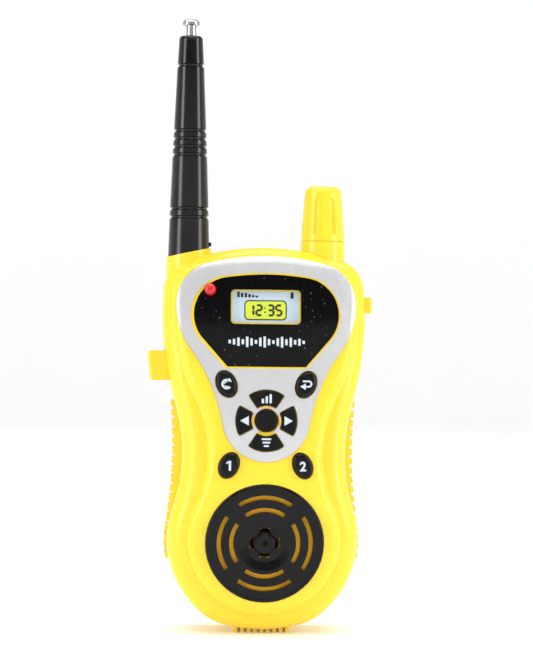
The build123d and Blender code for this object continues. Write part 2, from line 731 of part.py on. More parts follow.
with BuildPart() as rear_shell:
    add(SKIN)
    add(BOSSES)
    split(bisect_by=Plane.XZ.offset(SEAM_Y), keep=Keep.BOTTOM)
    add(grip_ribs())
    add(HOLLOW, mode=Mode.SUBTRACT)
    add(rear_posts(CASE_SCREWS, 4.2, SEAM_Y))
    add(rear_block((-BAY_HALF - BAY_WALL, BAY_HALF + BAY_WALL), (BAY_FLOOR_Y - BAY_WALL, BACK_Y - 1),
                   (BAY_Z[0] - BAY_WALL, BAY_Z[1] + BAY_WALL)))
    add(rear_block((-BAY_HALF, BAY_HALF), (BAY_FLOOR_Y, BACK_Y), BAY_Z), mode=Mode.SUBTRACT)
    add(rear_posts([(0, DOOR_SCREW_Z)], 3.2, 3.0))
    add(rear_block((PTT_PLATE_X, PTT_PLATE_X + 1.5), (-1.5, BACK_Y - 1), (85, 97)))
    add(rear_block((POWER_PLATE_X - 1.5, POWER_PLATE_X), (-1.5, BACK_Y - 1), (104, 117)))
    add(BORES, mode=Mode.SUBTRACT)
    add(rear_block((13.5, 26.9), (-3.0, BACK_Y - 1), (POT_FLOOR_Z - 1.6, POT_FLOOR_Z)))
    add(rear_block((-31.5, -19.5), (-1.5, BACK_Y - 1), (109.4, 111.4)))
    with BuildSketch(Plane.XY.offset(105)):
        with Locations((ANTENNA_X, TOP_AXIS_Y)):
            Circle(1.7)
    extrude(amount=10, mode=Mode.SUBTRACT)
    add(OPENINGS, mode=Mode.SUBTRACT)
    with BuildSketch(Plane.XZ.offset(-BACK_Y)):
        add(door_face(0.15))
    extrude(amount=DOOR_THICK, mode=Mode.SUBTRACT)
    with BuildSketch(Plane.XZ.offset(-BACK_Y)):
        with Locations(*CASE_SCREWS):
            Circle(2.7)
    extrude(amount=BACK_Y - 6, mode=Mode.SUBTRACT)
    with BuildSketch(Plane.XZ.offset(-BACK_Y)):
        with Locations(*CASE_SCREWS):
            Circle(1.6)
    extrude(amount=BACK_Y, mode=Mode.SUBTRACT)
    with BuildSketch(Plane.XZ.offset(-BACK_Y)):
        with Locations((0, DOOR_SCREW_Z)):
            Circle(1.35)
    extrude(amount=BACK_Y - 4.5, mode=Mode.SUBTRACT)
    with BuildSketch(Plane.XY.offset(BAY_Z[1] - 1)):
        with Locations((-4, 4), (4, 4)):
            Circle(1.1)
    extrude(amount=BAY_WALL + 2, mode=Mode.SUBTRACT)
    add(clip_ears())
    with BuildSketch(Plane.YZ.offset(-20)):
        with Locations((CLIP_PIN_Y, CLIP_PIN_Z)):
            Circle(1.0)
    extrude(amount=40, mode=Mode.SUBTRACT)
finish(rear_shell.part, "rear_shell")

# ---------------------------------------------------------------- battery, its snap and its door
battery_y = BAY_FLOOR_Y + 0.4 + BATTERY[1] / 2
battery_top = BATTERY_Z + BATTERY[2]
with BuildPart() as battery:
    with BuildSketch(Plane.XY.offset(BATTERY_Z)):
        with Locations((0, battery_y)):
            RectangleRounded(BATTERY[0], BATTERY[1], 2.5)
    extrude(amount=BATTERY[2])
    with BuildSketch(Plane.XY.offset(battery_top)):
        with Locations((-6.4, battery_y)):
            Circle(2.8)
        with Locations((6.4, battery_y)):
            RegularPolygon(4.0, 6)
    extrude(amount=2.0)
finish(battery.part, "battery")

with BuildPart() as battery_snap:
    with BuildSketch(Plane.XY.offset(battery_top + 0.1)):
        with Locations((0, battery_y)):
            RectangleRounded(25, 12, 3)
        with Locations((-6.4, battery_y)):
            Circle(2.8, mode=Mode.SUBTRACT)
        with Locations((6.4, battery_y)):
            RegularPolygon(4.0, 6, mode=Mode.SUBTRACT)
    extrude(amount=1.9)
    with BuildSketch(Plane.XY.offset(battery_top + 2.0)):
        with Locations((0, battery_y)):
            RectangleRounded(25, 12, 3)
    extrude(amount=1.6)
finish(battery_snap.part, "battery_snap")
snap_top = battery_top + 3.6

with BuildPart() as battery_door:
    with BuildSketch(Plane.XZ.offset(-BACK_Y)):
        add(door_face(0))
    extrude(amount=DOOR_THICK - 0.05)
    with BuildSketch(Plane.XZ.offset(-BACK_Y + 1.0)):
        with Locations((0, 36)):
            Rectangle(2 * BAY_HALF - 1.0, 1.2)
            Rectangle(1.2, 44)
    extrude(amount=1.1)
    with BuildSketch(Plane.XZ.offset(-BACK_Y)):
        with GridLocations(0, 2.4, 1, 5):
            with Locations((0, 18)):
                SlotOverall(16, 1.1)
    extrude(amount=0.5, mode=Mode.SUBTRACT)
    with Locations(Plane(origin=(0, BACK_Y, DOOR_SCREW_Z), x_dir=(1, 0, 0), z_dir=(0, 1, 0))):
        Hole(1.5)
finish(battery_door.part, "battery_door")


def screw(place, head_y, head_r, head_high, shank_r, length):
    """A cross-head screw driven in from the back"""
    x, z = place
    with BuildPart() as body:
        with BuildSketch(Plane.XZ.offset(-head_y)):
            with Locations((x, z)):
                Circle(shank_r)
        extrude(amount=length)
        with BuildSketch(Plane.XZ.offset(-head_y)):
            with Locations((x, z)):
                Circle(head_r)
        extrude(amount=-head_high)
        fillet(body.edges().group_by(Axis.Y)[-1], head_high * 0.35)
        with BuildSketch(Plane.XZ.offset(-head_y - head_high)):
            with Locations((x, z)):
                Rectangle(head_r * 1.2, head_r * 0.26)
                Rectangle(head_r * 0.26, head_r * 1.2)
        extrude(amount=head_high * 0.7, mode=Mode.SUBTRACT)
    return body.part


finish(screw((0, DOOR_SCREW_Z), BACK_Y, 2.4, 1.3, 1.3, 12.0), "door_screw")
with BuildPart() as case_screws:
    for place in CASE_SCREWS:
        add(screw(place, 6.0, 2.4, 1.6, 1.25, 13.5))
finish(case_screws.part, "case_screws")
with BuildPart() as board_screws:
    for place in BOARD_SCREWS:
        add(screw(place, BOARD_BACK_Y, 1.7, 1.0, 0.9, BOARD_THICK + 2.4))
finish(board_screws.part, "board_screws")

# ---------------------------------------------------------------- belt clip
CLIP_TOP_Z = 122.0
CLIP_FOOT_Z = 74.5
CLIP_INNER_Y = 22.7
CLIP_THICK = 1.8
with BuildPart() as belt_clip:
    with BuildSketch(Plane.YZ.offset(-CLIP_HALF)):
        with BuildLine():
            inner, outer = CLIP_INNER_Y, CLIP_INNER_Y + CLIP_THICK
            Polyline((inner, CLIP_FOOT_Z + 5), (inner, CLIP_TOP_Z - 4), (inner + 1.4, CLIP_TOP_Z),
                     (outer + 1.4, CLIP_TOP_Z), (outer, CLIP_TOP_Z - 4), (outer, CLIP_FOOT_Z + 1))
            ThreePointArc((outer, CLIP_FOOT_Z + 1), (inner - 1.0, CLIP_FOOT_Z - 2.6),
                          (BACK_Y + 0.6, CLIP_FOOT_Z + 1))
            ThreePointArc((BACK_Y + 0.6, CLIP_FOOT_Z + 1), (inner - 2.6, CLIP_FOOT_Z + 2.2),
                          (inner, CLIP_FOOT_Z + 5))
        make_face()
        with Locations((CLIP_PIN_Y, CLIP_PIN_Z)):
            Circle(2.6)
    extrude(amount=2 * CLIP_HALF)
    with BuildSketch(Plane.XZ.offset(-BACK_Y)):
        with Locations((0, (CLIP_TOP_Z + CLIP_FOOT_Z) / 2 - 1)):
            RectangleRounded(2 * CLIP_HALF, CLIP_TOP_Z - CLIP_FOOT_Z + 4, 5)
    extrude(amount=-12, mode=Mode.INTERSECT)
    with BuildSketch(Plane.YZ.offset(-20)):
        with Locations((CLIP_PIN_Y, CLIP_PIN_Z)):
            Circle(1.06)
    extrude(amount=40, mode=Mode.SUBTRACT)
    with Locations((0, CLIP_PIN_Y - 0.5, CLIP_PIN_Z)):
        Box(8.4, 5.4, 6.4, mode=Mode.SUBTRACT)
    with BuildSketch(Plane.XZ.offset(-CLIP_INNER_Y - CLIP_THICK)):
        for index in range(4):
            with Locations((0, CLIP_TOP_Z - 8 + index * 1.8)):
                SlotOverall(13, 0.7)
    extrude(amount=0.4, mode=Mode.SUBTRACT)
finish(belt_clip.part, "belt_clip")

with BuildPart() as clip_pin:
    with BuildSketch(Plane.YZ.offset(-CLIP_HALF - 3.4)):
        with Locations((CLIP_PIN_Y, CLIP_PIN_Z)):
            Circle(1.0)
    extrude(amount=2 * (CLIP_HALF + 3.4))
finish(clip_pin.part, "clip_pin")


def coil(radius, wire, pitch, turns, place):
    """A round-wire coil spring along the +Z of its place"""
    with BuildPart() as body:
        with BuildLine():
            Helix(pitch=pitch, height=pitch * turns, radius=radius)
        with BuildSketch(Plane(origin=(radius, 0, 0), x_dir=(1, 0, 0), z_dir=(0, 1, 0))):
            Circle(wire / 2)
        sweep()
    return place * body.part


clip_coil = Plane(origin=(-2.9, CLIP_PIN_Y, CLIP_PIN_Z), x_dir=(0, 1, 0), z_dir=(1, 0, 0))
finish(coil(1.55, 0.6, 0.75, 7, clip_coil), "clip_spring")

# ---------------------------------------------------------------- antenna
SLEEVE_TOP_Z = 204.1
TUBE_TOP_Z = 203.8
TUBE_FOOT_Z = 111.4
SLEEVE_PROFILE = [(7.3, 124.0), (6.75, 141.1), (6.6, 145.4), (6.0, 162.3), (5.55, 172.3),
                  (4.65, 193.2), (4.55, 194.6)]     # radius, height
SLEEVE_GROOVES = [141.8, 144.7, 163.2, 165.95, 168.7, 171.45, 193.9]
TUBES = {"antenna_tube": (3.2, 2.6), "antenna_middle": (2.5, 1.85)}     # outer and inner radius
ROD_R = 1.75
ANTENNA_AXIS = Plane(origin=(ANTENNA_X, TOP_AXIS_Y, 0), x_dir=(1, 0, 0), z_dir=(0, 0, 1))


def sleeve_radius(z):
    """Radius of the tapered sleeve at a height"""
    for (low_r, low_z), (high_r, high_z) in zip(SLEEVE_PROFILE, SLEEVE_PROFILE[1:]):
        if low_z <= z <= high_z:
            return low_r + (high_r - low_r) * (z - low_z) / (high_z - low_z)
    return SLEEVE_PROFILE[-1][0]


with BuildPart() as sleeve_blank:
    with BuildSketch(Plane.XZ):
        with BuildLine():
            Polyline((0, 124.0), *SLEEVE_PROFILE, (4.1, SLEEVE_TOP_Z - 1.6))
            ThreePointArc((4.1, SLEEVE_TOP_Z - 1.6), (3.75, SLEEVE_TOP_Z - 0.35),
                          (3.3, SLEEVE_TOP_Z))
            Polyline((3.3, SLEEVE_TOP_Z), (0, SLEEVE_TOP_Z), (0, 124.0))
        make_face()
    revolve(axis=Axis.Z)
    for height in SLEEVE_GROOVES:
        with BuildSketch(Plane.XZ):
            with Locations((sleeve_radius(height) + 0.25, height)):
                Ellipse(0.75, 0.62)
        revolve(axis=Axis.Z, mode=Mode.SUBTRACT)
sleeve_at_home = ANTENNA_AXIS * sleeve_blank.part
with BuildPart() as antenna_sleeve:
    add(sleeve_at_home)
    split(bisect_by=slant_plane().offset(0.02), keep=Keep.TOP)
    with BuildSketch(Plane.XY.offset(TUBE_FOOT_Z + 0.4)):
        with Locations((ANTENNA_X, TOP_AXIS_Y)):
            Circle(5.0)
    extrude(amount=22)
    with BuildSketch(Plane.XY.offset(TUBE_FOOT_Z)):
        with Locations((ANTENNA_X, TOP_AXIS_Y)):
            Circle(TUBES["antenna_tube"][0])
    extrude(amount=100, mode=Mode.SUBTRACT)
    with Locations((ANTENNA_X + 6.9, TOP_AXIS_Y, 132.6)):
        Box(1.6, 1.6, 1.4)
finish(antenna_sleeve.part, "antenna_sleeve")

with BuildPart() as antenna_tube:
    with BuildSketch(Plane.XY.offset(TUBE_FOOT_Z)):
        with Locations((ANTENNA_X, TOP_AXIS_Y)):
            Circle(TUBES["antenna_tube"][0])
    extrude(amount=TUBE_TOP_Z - TUBE_FOOT_Z)
    with BuildSketch(Plane.XY.offset(TUBE_FOOT_Z + 4)):
        with Locations((ANTENNA_X, TOP_AXIS_Y)):
            Circle(TUBES["antenna_tube"][1])
    extrude(amount=100, mode=Mode.SUBTRACT)
    with BuildSketch(Plane.XY.offset(TUBE_FOOT_Z)):
        with Locations((ANTENNA_X, TOP_AXIS_Y)):
            Circle(1.25)
    extrude(amount=3, mode=Mode.SUBTRACT)
finish(antenna_tube.part, "antenna_tube")

MIDDLE_FOOT_Z = TUBE_FOOT_Z + 4.5
with BuildPart() as antenna_middle:
    with BuildSketch(Plane.XY.offset(MIDDLE_FOOT_Z)):
        with Locations((ANTENNA_X, TOP_AXIS_Y)):
            Circle(TUBES["antenna_middle"][0])
            Circle(TUBES["antenna_middle"][1], mode=Mode.SUBTRACT)
    extrude(amount=TUBE_TOP_Z - 0.2 - MIDDLE_FOOT_Z)
finish(antenna_middle.part, "antenna_middle")

ROD_FOOT_Z = MIDDLE_FOOT_Z + 4.0
TIP_FOOT_Z = 207.7
with BuildPart() as antenna_rod:
    with BuildSketch(Plane.XY.offset(ROD_FOOT_Z)):
        with Locations((ANTENNA_X, TOP_AXIS_Y)):
            Circle(ROD_R)
    extrude(amount=TIP_FOOT_Z - ROD_FOOT_Z)
finish(antenna_rod.part, "antenna_rod")

with BuildPart() as tip_blank:
    with BuildSketch(Plane.XZ):
        with BuildLine():
            Polyline((0, 2.3), (0, 0), (2.7, 0), (3.0, 0.3), (3.0, 1.2))
            ThreePointArc((3.0, 1.2), (2.4, 1.85), (1.4, 2.2))
            Line((1.4, 2.2), (0, 2.3))
        make_face()
    revolve(axis=Axis.Z)
finish(ANTENNA_AXIS.offset(TIP_FOOT_Z) * tip_blank.part, "antenna_tip")

with BuildPart() as antenna_screw:
    with BuildSketch(Plane.XY.offset(106.9)):
        with Locations((ANTENNA_X, TOP_AXIS_Y)):
            Circle(2.8)
    extrude(amount=2.0)
    chamfer(antenna_screw.edges().group_by(Axis.Z)[0], 0.4)
    with BuildSketch(Plane.XY.offset(106.9)):
        with Locations((ANTENNA_X, TOP_AXIS_Y)):
            Circle(1.25)
    extrude(amount=7.4)
    with BuildSketch(Plane.XY.offset(106.9)):
        with Locations((ANTENNA_X, TOP_AXIS_Y)):
            Rectangle(3.2, 0.7)
            Rectangle(0.7, 3.2)
    extrude(amount=1.2, mode=Mode.SUBTRACT)
finish(antenna_screw.part, "antenna_screw")

with BuildPart() as antenna_lug:
    with BuildSketch(Plane.XY.offset(108.9)):
        with Locations((ANTENNA_X, TOP_AXIS_Y)):
            Circle(3.4)
        with Locations((ANTENNA_X + 4.2, TOP_AXIS_Y)):
            Rectangle(6, 2.6)
        with Locations((ANTENNA_X, TOP_AXIS_Y)):
            Circle(1.3, mode=Mode.SUBTRACT)
    extrude(amount=0.5)
finish(antenna_lug.part, "antenna_lug")

# ---------------------------------------------------------------- volume knob and its control
KNOB_TOP_Z = 153.0
KNOB_FOOT_Z = KNOB_SEAM_Z + 0.15
FLUTES = 8
SHAFT_R = 1.5
KNOB_AXIS = Plane(origin=(KNOB_X, TOP_AXIS_Y, 0), x_dir=(1, 0, 0), z_dir=(0, 0, 1))
with BuildPart() as flute:
    with BuildSketch(Plane.XY.offset(KNOB_FOOT_Z + 1.7)):
        with Locations((8.15, 0)):
            Circle(1.75)
    extrude(amount=12.8, taper=1.5)
    fillet(flute.edges().filter_by(GeomType.CIRCLE), 0.9)
with BuildPart() as knob_blank:
    with BuildSketch(Plane.XZ):
        with BuildLine():
            Polyline((0, KNOB_FOOT_Z), (7.4, KNOB_FOOT_Z), (7.35, KNOB_FOOT_Z + 2.0),
                     (6.35, KNOB_TOP_Z - 3.0))
            ThreePointArc((6.35, KNOB_TOP_Z - 3.0), (5.7, KNOB_TOP_Z - 0.8), (4.2, KNOB_TOP_Z))
            Polyline((4.2, KNOB_TOP_Z), (0, KNOB_TOP_Z), (0, KNOB_FOOT_Z))
        make_face()
    revolve(axis=Axis.Z)
    for index in range(FLUTES):
        add(Location((0, 0, 0), (0, 0, (index + 0.5) * 360 / FLUTES)) *
            Location((0, 0, KNOB_FOOT_Z), (0, -3.2, 0)) * Location((0, 0, -KNOB_FOOT_Z)) *
            flute.part, mode=Mode.SUBTRACT)
    with BuildSketch(Plane.XY.offset(KNOB_FOOT_Z)):
        Circle(5.6)
        Circle(2.9, mode=Mode.SUBTRACT)
    extrude(amount=11, mode=Mode.SUBTRACT)
    with BuildSketch(Plane.XY.offset(KNOB_FOOT_Z)):
        Circle(SHAFT_R)
    extrude(amount=15.2, mode=Mode.SUBTRACT)
    with BuildSketch(Plane.XY.offset(KNOB_TOP_Z - 0.5)):
        with Locations((3.2, 0)):
            SlotOverall(2.6, 0.9)
    extrude(amount=2, mode=Mode.SUBTRACT)
finish(KNOB_AXIS * knob_blank.part, "volume_knob")

with BuildPart() as volume_shaft:
    with BuildSketch(KNOB_AXIS.offset(POT_FLOOR_Z + 1.2)):
        Circle(SHAFT_R)
    extrude(amount=KNOB_FOOT_Z + 15.0 - POT_FLOOR_Z - 1.2)
finish(volume_shaft.part, "volume_shaft")

with BuildPart() as volume_control:
    with BuildSketch(KNOB_AXIS.offset(POT_FLOOR_Z)):
        RectangleRounded(11, 11, 1.5)
    extrude(amount=5.0)
    with BuildSketch(KNOB_AXIS.offset(POT_FLOOR_Z + 5.0)):
        Circle(3.4)
    extrude(amount=5.6)
    with BuildSketch(KNOB_AXIS.offset(POT_FLOOR_Z + 1.1)):
        Circle(SHAFT_R + 0.06)
    extrude(amount=20, mode=Mode.SUBTRACT)
    with BuildSketch(KNOB_AXIS.offset(POT_FLOOR_Z + 1.0)):
        with Locations((-3, -6.4), (0, -6.4), (3, -6.4)):
            Rectangle(1.2, 2.0)
    extrude(amount=0.5)
finish(volume_control.part, "volume_control")

# ---------------------------------------------------------------- push-to-talk button
PTT_HALF_Z = 5.0
PTT_HALF_Y = 6.0
PTT_STEM_X = -24.9
with BuildPart() as ptt_button:
    with BuildSketch(Plane.XZ.offset(-PTT_Y + PTT_HALF_Y)):
        with BuildLine():
            Polyline((-39.9, PTT_Z + PTT_HALF_Z), (-38.8, PTT_Z - PTT_HALF_Z),
                     (-27.4, PTT_Z - PTT_HALF_Z), (-27.4, PTT_Z + PTT_HALF_Z), close=True)
        make_face()
    extrude(amount=-2 * PTT_HALF_Y)
    fillet(ptt_button.faces().sort_by(Axis.X)[0].edges(), 1.1)
    with Locations((-28.0, PTT_Y, PTT_Z)):
        Box(1.2, 2 * PTT_HALF_Y + 3, 2 * PTT_HALF_Z + 4.6)
    with BuildSketch(Plane.YZ.offset(-27.5)):
        with Locations((PTT_Y, PTT_Z)):
            Circle(1.5)
    extrude(amount=27.5 + PTT_STEM_X)
finish(ptt_button.part, "ptt_button")

ptt_coil = Plane(origin=(-27.1, PTT_Y, PTT_Z), x_dir=(0, 1, 0), z_dir=(1, 0, 0))
finish(coil(2.3, 0.5, 0.84, 5, ptt_coil), "ptt_spring")

with BuildPart() as ptt_switch:
    with Locations((PTT_PLATE_X - 1.75, PTT_Y, PTT_Z)):
        Box(3.5, 6, 6)
    with BuildSketch(Plane.YZ.offset(PTT_PLATE_X - 3.5)):
        with Locations((PTT_Y, PTT_Z)):
            Circle(1.6)
    extrude(amount=-0.7)
finish(ptt_switch.part, "ptt_switch")

# ---------------------------------------------------------------- power switch
with BuildPart() as power_knob:
    with Locations((34.3, PTT_Y, POWER_Z)):
        Box(5.6, 7.0, 5.5)
    fillet(power_knob.faces().sort_by(Axis.X)[-1].edges(), 0.8)
    with Locations((30.9, PTT_Y, 110.4)):
        Box(1.4, 10, 13.6)
    with Locations((29.4, PTT_Y, POWER_Z)):
        Box(1.8, 4, 4)
        Box(1.8, 4, 1.6, mode=Mode.SUBTRACT)
finish(power_knob.part, "power_knob")

with BuildPart() as power_lever:
    with Locations((27.5, PTT_Y, POWER_Z)):
        Box(4.0, 1.8, 1.6)
    with Locations((25.4, PTT_Y, POWER_Z)):
        Box(0.8, 3.0, 2.6)
finish(power_lever.part, "power_lever")

with BuildPart() as power_switch:
    with Locations((POWER_PLATE_X + 2.4, PTT_Y, POWER_Z - POWER_TRAVEL / 2)):
        Box(4.8, 5, 10)
        Box(4.0, 3.4, 7.6, mode=Mode.SUBTRACT)
    with Locations((POWER_PLATE_X + 4.6, PTT_Y, POWER_Z - POWER_TRAVEL / 2)):
        Box(1.4, 2.0, 5.4, mode=Mode.SUBTRACT)
finish(power_switch.part, "power_switch")

# ---------------------------------------------------------------- circuit board
BOARD_HALF = 20.6
BOARD_Z = (53.0, 119.0)
with BuildPart() as circuit_board:
    with BuildSketch(Plane.XZ.offset(-BOARD_BACK_Y)):
        with Locations((0, sum(BOARD_Z) / 2)):
            RectangleRounded(2 * BOARD_HALF, BOARD_Z[1] - BOARD_Z[0], 1.5)
        with Locations(*BOARD_SCREWS):
            Circle(1.0, mode=Mode.SUBTRACT)
    extrude(amount=BOARD_THICK)
finish(circuit_board.part, "circuit_board")

with BuildPart() as sound_chip:
    with Locations((0, BOARD_BACK_Y + 1.0, 82)):
        Box(7.5, 2.0, 10)
    for index in range(7):
        with Locations((0, BOARD_BACK_Y + 0.4, 78.2 + index * 1.27)):
            Box(10.2, 0.4, 0.5)
finish(sound_chip.part, "sound_chip")

with BuildPart() as radio_parts:
    for x, z, radius, height in [(-13, 80, 3.0, 8), (-13, 73, 2.5, 7), (13, 98, 2.5, 7), (-5, 108, 2.0, 5)]:
        with BuildSketch(Plane.XZ.offset(-BOARD_BACK_Y)):
            with Locations((x, z)):
                Circle(radius)
        extrude(amount=-height)
    for x, z, width, tall in [(12, 88, 7, 7), (-13, 92, 7, 7), (13, 76, 8, 3.4)]:
        with BuildSketch(Plane.XZ.offset(-BOARD_BACK_Y)):
            with Locations((x, z)):
                RectangleRounded(width, tall, 0.8)
        extrude(amount=-6.0)
finish(radio_parts.part, "radio_parts")


# ---------------------------------------------------------------- inner wiring
def wire(points, diameter):
    """An insulated lead along straight runs joined by arcs as large as the runs allow"""
    corners = [Vector(*point) for point in points]
    runs = [b - a for a, b in zip(corners, corners[1:])]
    radii = []
    for before, after in zip(runs, runs[1:]):
        turn = radians(before.get_angle(after))
        radii.append(0.45 * min(before.length, after.length) / tan(turn / 2))
    with BuildPart() as body:
        with BuildLine() as path:
            FilletPolyline(*corners, radius=radii)
        route = path.wires()[0]
        with BuildSketch(Plane(origin=corners[0], z_dir=runs[0])):
            Circle(diameter / 2)
        sweep()
    expected = pi * diameter**2 / 4 * route.length
    print("wire", round(route.length, 1), "radii", [round(r, 1) for r in radii],
          "volume ratio", round(body.part.volume / expected, 3))
    return body.part


THIN = 0.9
THICK = 1.2
lead_end = BOARD_BACK_Y + THICK / 2
finish(wire([(-4, 4, snap_top), (-4, 4, 71), (-5, lead_end, 75)], THICK), "battery_lead_black")
finish(wire([(4, 4, snap_top), (4, 4, 71), (5, lead_end, 75)], THICK), "battery_lead_red")
lug_end_x = ANTENNA_X + 6.6
finish(wire([(lug_end_x, TOP_AXIS_Y, 108.9), (lug_end_x, TOP_AXIS_Y, 103), (-16.5, lead_end, 99)],
            THIN), "antenna_lead")

with BuildPart() as speaker_leads:
    for side in (-1, 1):
        add(wire([(side * 5, -9.0, 43.5), (side * 6, -6.5, 49), (side * 7, -6.4, 55),
                  (side * 8, lead_end, 59)], THIN))
finish(speaker_leads.part, "speaker_leads")

with BuildPart() as control_leads:
    for step in (-3, 0, 3):
        pin_x = KNOB_X + step
        pin_y = TOP_AXIS_Y - 7.0
        add(wire([(pin_x, pin_y, POT_FLOOR_Z + 1.0), (pin_x, pin_y, 113),
                  (16 + step * 0.8, lead_end, 107)], THIN))
finish(control_leads.part, "control_leads")

ptt_lead_x = PTT_PLATE_X - 2
power_lead_x = POWER_PLATE_X + 2.4
power_foot_z = POWER_Z - POWER_TRAVEL / 2 - 5
with BuildPart() as switch_leads:
    for step in (-1, 1):
        lead_y = PTT_Y + step * 1.3
        add(wire([(ptt_lead_x, lead_y, PTT_Z - 3), (ptt_lead_x, lead_y, 83 - step),
                  (-17, lead_end, 79 - step * 2)], THIN))
        add(wire([(power_lead_x, lead_y, power_foot_z), (power_lead_x, lead_y, 99 - step),
                  (18.2, lead_end, 94 - step * 2)], THIN))
finish(switch_leads.part, "switch_leads")
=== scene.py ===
import json
from math import cos, pi, radians, sin

import bmesh
import bpy
from mathutils import Euler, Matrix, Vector
from mathutils.bvhtree import BVHTree

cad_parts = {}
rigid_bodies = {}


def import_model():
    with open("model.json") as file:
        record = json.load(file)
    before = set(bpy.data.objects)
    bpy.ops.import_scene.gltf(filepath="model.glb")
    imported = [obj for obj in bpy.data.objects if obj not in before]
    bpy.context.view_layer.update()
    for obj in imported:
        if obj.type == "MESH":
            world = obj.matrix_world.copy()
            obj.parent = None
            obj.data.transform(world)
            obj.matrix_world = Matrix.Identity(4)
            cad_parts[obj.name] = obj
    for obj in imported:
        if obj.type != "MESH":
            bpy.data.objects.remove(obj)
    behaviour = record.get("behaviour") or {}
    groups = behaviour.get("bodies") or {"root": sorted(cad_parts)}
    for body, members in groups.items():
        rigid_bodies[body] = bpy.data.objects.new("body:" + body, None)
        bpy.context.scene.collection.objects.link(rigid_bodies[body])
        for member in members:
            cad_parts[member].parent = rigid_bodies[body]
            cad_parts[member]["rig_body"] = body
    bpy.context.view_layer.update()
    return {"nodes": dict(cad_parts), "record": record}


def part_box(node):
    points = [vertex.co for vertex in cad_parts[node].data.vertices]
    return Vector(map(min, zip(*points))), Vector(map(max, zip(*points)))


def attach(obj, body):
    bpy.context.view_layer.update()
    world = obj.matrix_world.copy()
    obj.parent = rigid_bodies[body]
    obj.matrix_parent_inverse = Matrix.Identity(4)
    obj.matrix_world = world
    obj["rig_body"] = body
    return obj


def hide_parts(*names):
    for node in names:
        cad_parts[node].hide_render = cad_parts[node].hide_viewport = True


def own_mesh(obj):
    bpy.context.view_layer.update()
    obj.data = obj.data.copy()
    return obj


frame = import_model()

# A toy walkie talkie. Lengths are in metres, in the CAD frame: +Z up, front towards -Y.

MM = 0.001
NODES = frame["nodes"]


# ---------------------------------------------------------------- materials
class Finish:
    """A node material, with short ways to add procedural texture to its one shader"""

    def __init__(self, name, **sockets):
        self.material = bpy.data.materials.new(name)
        self.material.use_nodes = True
        self.tree = self.material.node_tree
        self.shader = self.tree.nodes["Principled BSDF"]
        for socket, value in sockets.items():
            self.shader.inputs[socket.replace("_", " ")].default_value = value
        self.place = self.tree.nodes.new("ShaderNodeTexCoord").outputs["Object"]

    def link(self, output, target):
        self.tree.links.new(output, target)

    def scaled_place(self, scale):
        """Places on the object, multiplied by a factor along each axis"""
        node = self.tree.nodes.new("ShaderNodeMapping")
        node.inputs["Scale"].default_value = scale
        self.link(self.place, node.inputs["Vector"])
        return node.outputs["Vector"]

    def noise(self, size, detail=2.0, rough=0.5, stretch=(1, 1, 1)):
        """Soft noise with features of about this size"""
        node = self.tree.nodes.new("ShaderNodeTexNoise")
        node.inputs["Scale"].default_value = 1.0
        node.inputs["Detail"].default_value = detail
        node.inputs["Roughness"].default_value = rough
        self.link(self.scaled_place([s / size for s in stretch]), node.inputs["Vector"])
        return node.outputs["Fac"]

    def cells(self, size):
        """Distance to scattered points of about this spacing, and a colour for each"""
        node = self.tree.nodes.new("ShaderNodeTexVoronoi")
        node.inputs["Scale"].default_value = 1.0
        self.link(self.scaled_place([1 / size] * 3), node.inputs["Vector"])
        return node.outputs["Distance"], node.outputs["Color"]

    def remap(self, value, low, high, to_low, to_high):
        """A value carried from one range to another, and held at its ends"""
        node = self.tree.nodes.new("ShaderNodeMapRange")
        node.inputs["From Min"].default_value = low
        node.inputs["From Max"].default_value = high
        node.inputs["To Min"].default_value = to_low
        node.inputs["To Max"].default_value = to_high
        self.link(value, node.inputs["Value"])
        return node.outputs["Result"]

    def ramp(self, value, *stops):
        """Colours along a value: stops are (position, colour)"""
        node = self.tree.nodes.new("ShaderNodeValToRGB")
        band = node.color_ramp
        while len(band.elements) < len(stops):
            band.elements.new(0.5)
        for element, (position, colour) in zip(band.elements, stops):
            element.position = position
            element.color = (*colour, 1.0)
        self.link(value, node.inputs["Fac"])
        return node.outputs["Color"]

    def mix(self, factor, first, second):
        """A blend of two colours, each given as three numbers or as an output"""
        node = self.tree.nodes.new("ShaderNodeMix")
        node.data_type = "RGBA"
        self.link(factor, node.inputs["Factor"])
        for value, socket in ((first, node.inputs["A"]), (second, node.inputs["B"])):
            if isinstance(value, tuple):
                socket.default_value = (*value, 1.0)
            else:
                self.link(value, socket)
        return node.outputs["Result"]

    def colour(self, output):
        self.link(output, self.shader.inputs["Base Color"])

    def rough(self, output):
        self.link(output, self.shader.inputs["Roughness"])

    def relief(self, *layers):
        """Bumps, each (height output, depth in metres), from coarse to fine"""
        normal = None
        for height, depth in layers:
            node = self.tree.nodes.new("ShaderNodeBump")
            node.inputs["Distance"].default_value = depth
            node.inputs["Strength"].default_value = 1.0
            self.link(height, node.inputs["Height"])
            if normal:
                self.link(normal, node.inputs["Normal"])
            normal = node.outputs["Normal"]
        self.link(normal, self.shader.inputs["Normal"])


def moulded(name, shade, gloss, grain=1.0):
    """Injection-moulded plastic: faint flow marks, fine orange peel and a few handling scuffs"""
    finish = Finish(name, Specular_IOR_Level=0.5, IOR=1.5)
    flow = finish.noise(22 * MM, 3, 0.55, (1, 1, 0.45))
    deep = tuple(c * 0.965 for c in shade)
    pale = tuple(min(1.0, c * 1.02) for c in shade)
    finish.colour(finish.ramp(flow, (0.3, deep), (0.7, pale)))
    haze = finish.noise(4.5 * MM, 4, 0.6)
    finish.rough(finish.remap(haze, 0.3, 0.75, gloss * 0.8, gloss * 1.35))
    peel = finish.noise(0.55 * MM, 2)
    sink = finish.noise(16 * MM, 1)
    finish.relief((sink, 0.05 * MM * grain), (peel, 0.005 * MM * grain))
    return finish


